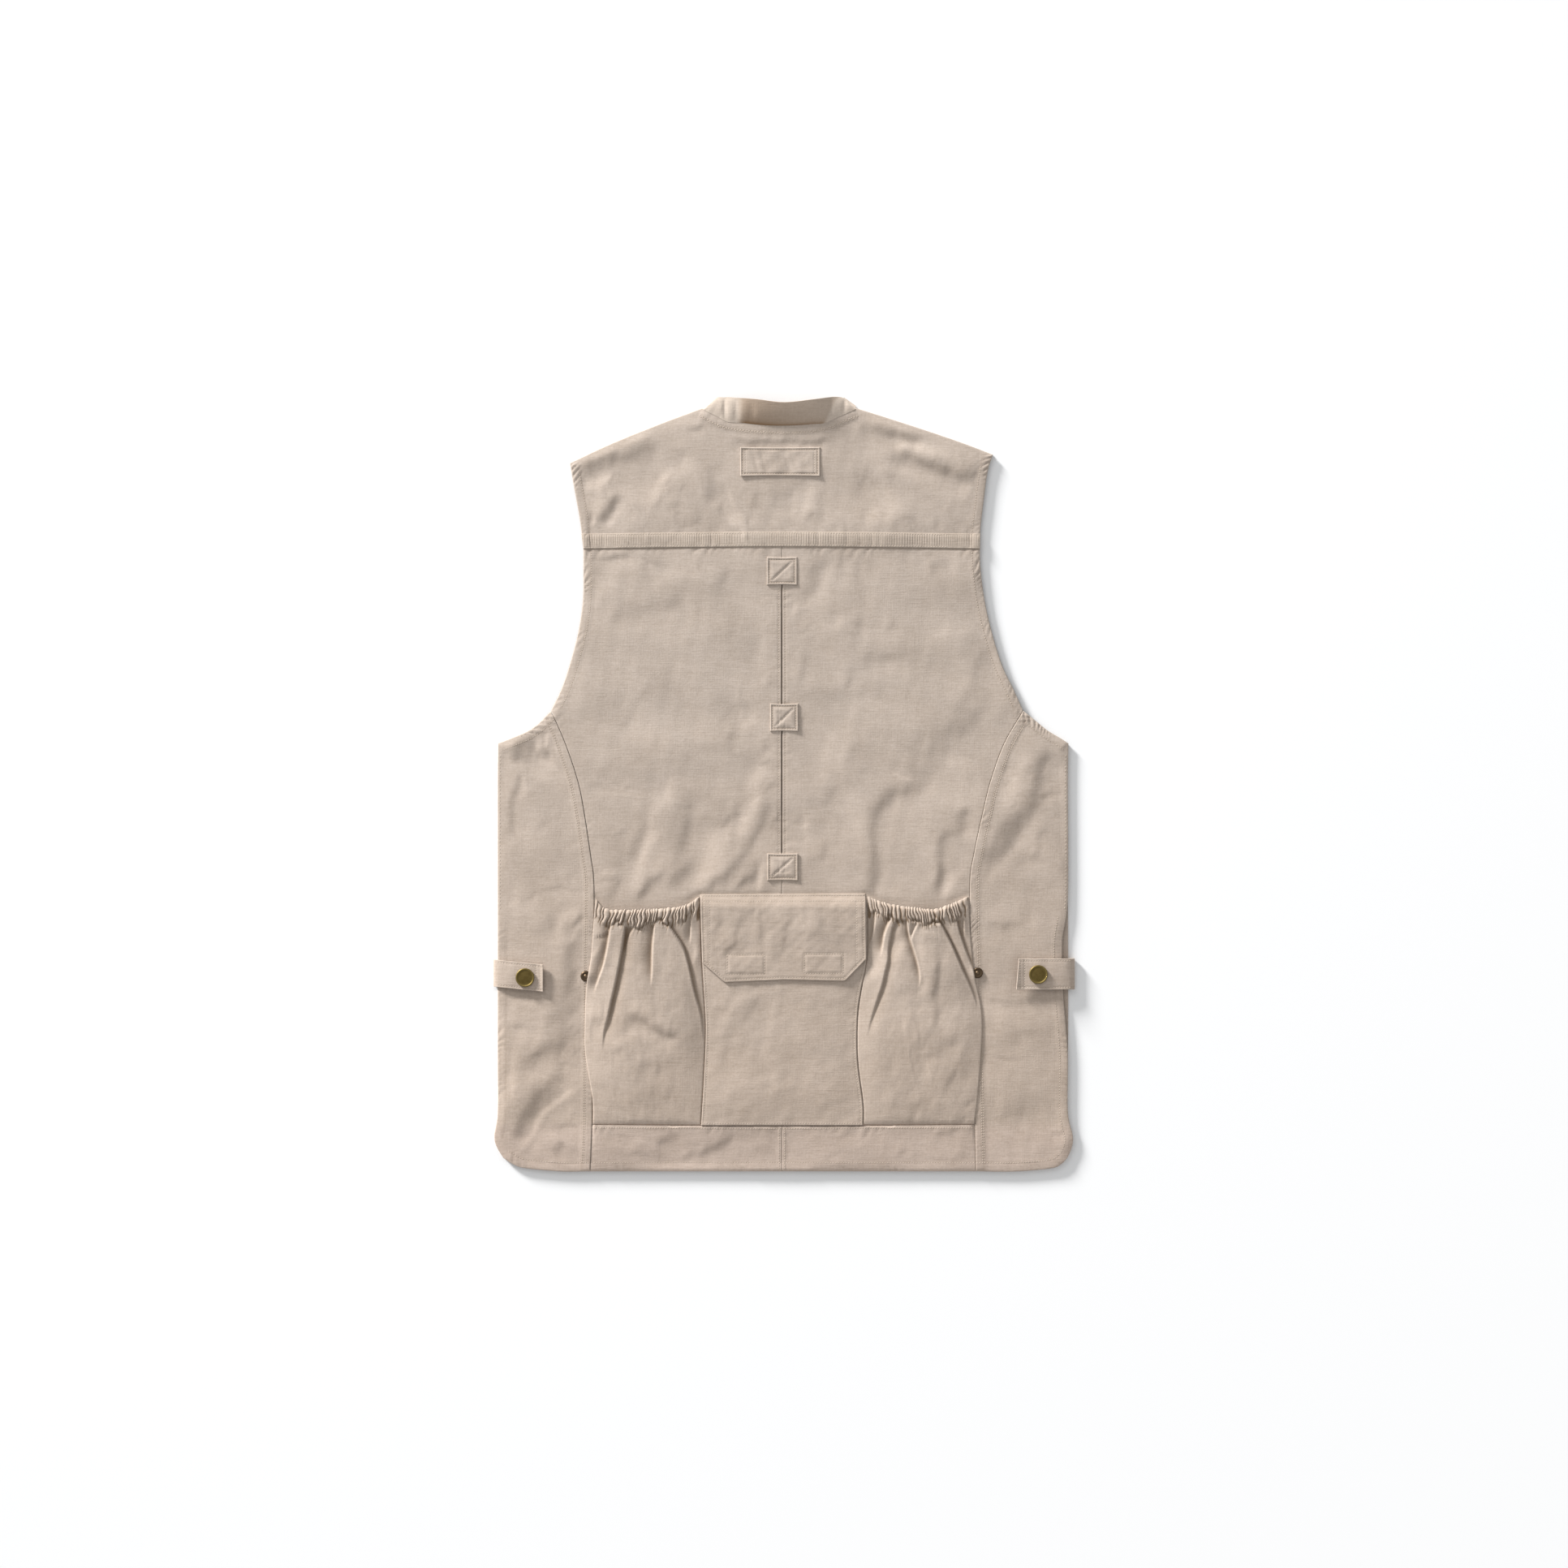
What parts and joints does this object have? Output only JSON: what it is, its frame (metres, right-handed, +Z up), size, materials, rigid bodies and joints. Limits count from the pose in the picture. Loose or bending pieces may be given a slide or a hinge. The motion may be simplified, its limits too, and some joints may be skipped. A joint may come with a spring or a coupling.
{
  "type": "utility vest",
  "caption": "Sleeveless canvas utility vest laid flat with its back up: yoke, centre-back slit, gathered pouch pockets, flap pocket, side tabs with snaps.",
  "frame": {"origin": "on the surface that the vest lies on, below the middle of its outline", "axes": "+Y along the back towards the neck, +X to the wearer's right, +Z up from the surface and out of the back"},
  "size_m": [0.5585, 0.7451, 0.0126],
  "materials": {
    "front": "beige cotton canvas, plain weave",
    "back": "beige cotton canvas, plain weave",
    "pockets": "beige cotton canvas, plain weave",
    "patches": "beige cotton canvas, edge stitched",
    "tabs": "beige cotton canvas, edge stitched",
    "collar": "beige cotton canvas, slightly darker",
    "tape": "beige canvas strip with dense stitch rows",
    "snap_caps": "antique brass, worn satin",
    "snap_studs": "dark antique brass"
  },
  "bodies": {
    "root": {"back_left": "back", "back_right": "back", "collar": "collar", "front_left": "front", "front_right": "front", "hem_left": "back", "hem_right": "back", "neck_patch": "patches", "pleat_underlay": "back", "pocket": "pockets", "pocket_flap": "pockets", "pouch_left": "pockets", "pouch_right": "pockets", "side_left": "back", "side_right": "back", "slit_patch_1": "patches", "slit_patch_2": "patches", "slit_patch_3": "patches", "snap_cap_left": "snap_caps", "snap_cap_right": "snap_caps", "snap_stud_left": "snap_studs", "snap_stud_right": "snap_studs", "tab_left": "tabs", "tab_right": "tabs", "yoke": "back", "yoke_tape": "tape"}
  },
  "joints": []
}
